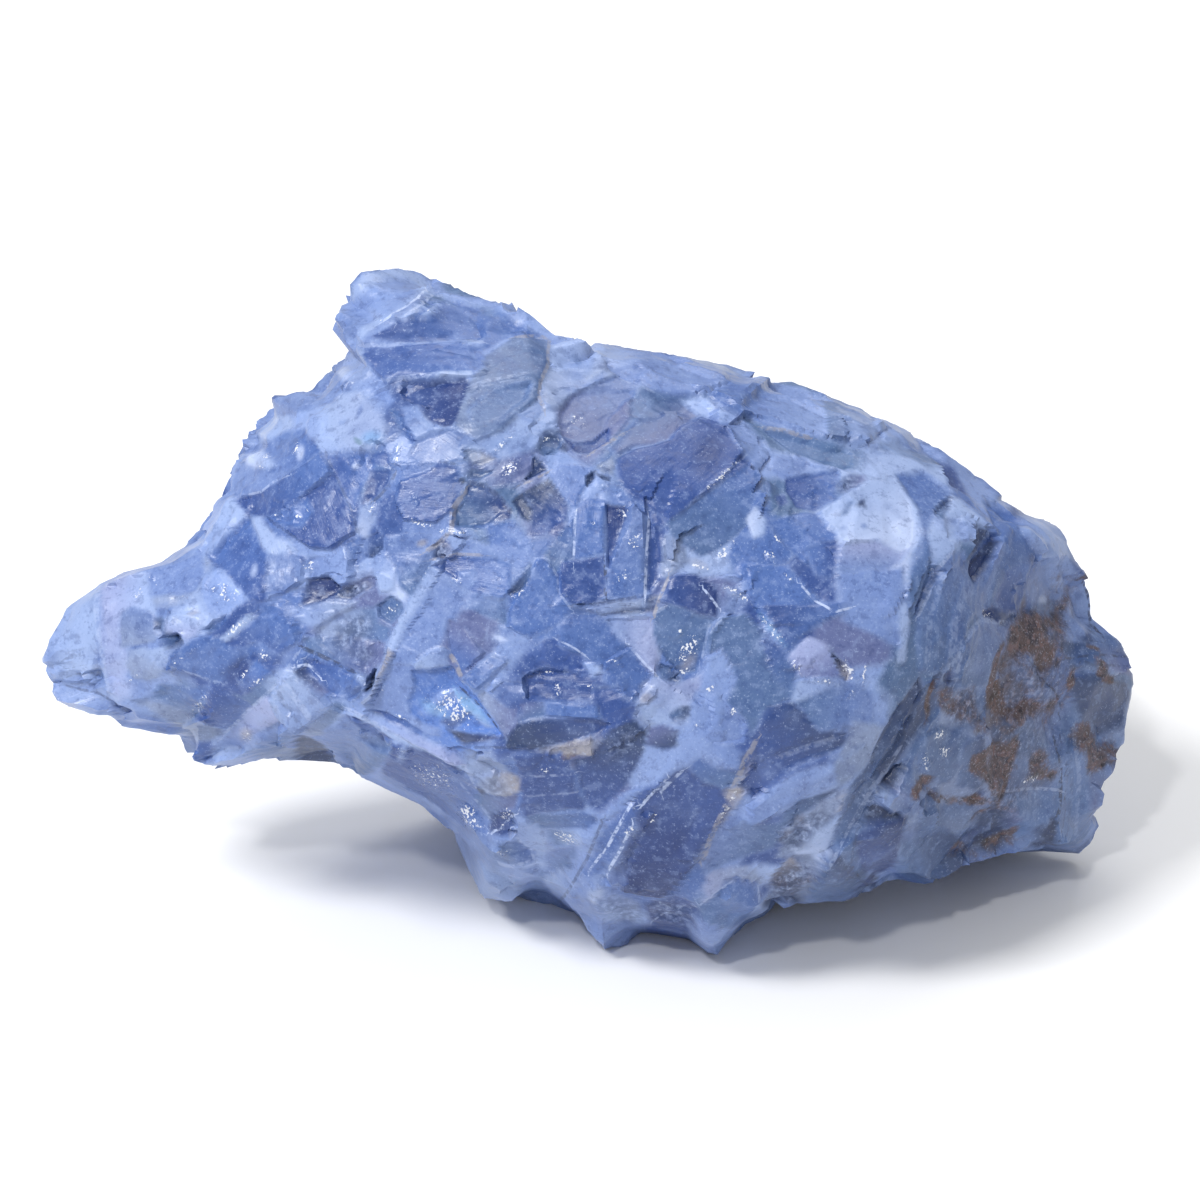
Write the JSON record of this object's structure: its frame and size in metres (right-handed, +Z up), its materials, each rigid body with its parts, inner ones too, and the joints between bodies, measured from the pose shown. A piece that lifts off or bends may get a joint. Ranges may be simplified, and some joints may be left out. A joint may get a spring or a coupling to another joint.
{
  "type": "rough blue calcite stone",
  "caption": "Rough lump of cloudy translucent blue calcite with cleaved grain facets, a raised bump on top, a tapering end and rust stains; rests on a small flat spot.",
  "frame": {"origin": "middle of the bounding box, on the ground that the stone rests on", "axes": "+X along the length, with the tapering end at -X; +Z up; the broad broken front looks towards -Y and up"},
  "size_m": [0.1218, 0.0605, 0.07],
  "materials": {
    "calcite": "satin"
  },
  "bodies": {
    "root": {"calcite": "calcite"}
  },
  "joints": []
}
